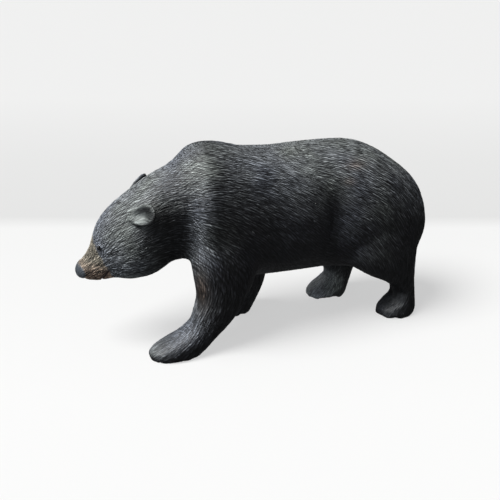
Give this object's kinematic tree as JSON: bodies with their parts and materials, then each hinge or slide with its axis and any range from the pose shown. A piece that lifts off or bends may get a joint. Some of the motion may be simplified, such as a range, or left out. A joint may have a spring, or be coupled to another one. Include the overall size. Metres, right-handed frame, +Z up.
{
  "type": "carved wooden bear figure",
  "caption": "Carved wooden walking bear, its fur worked in fine grooves and painted black, with a lowered head, round ears and a tan muzzle.",
  "frame": {"origin": "on the ground under the middle of the bear", "axes": "+X from the nose towards the rump, +Y across the bear towards its right side, +Z up"},
  "size_m": [0.387, 0.124, 0.2165],
  "materials": {
    "painted_wood": "matt black paint rubbed back on the ridges of the carving"
  },
  "bodies": {
    "root": {"carved_bear": "painted_wood"}
  },
  "joints": []
}
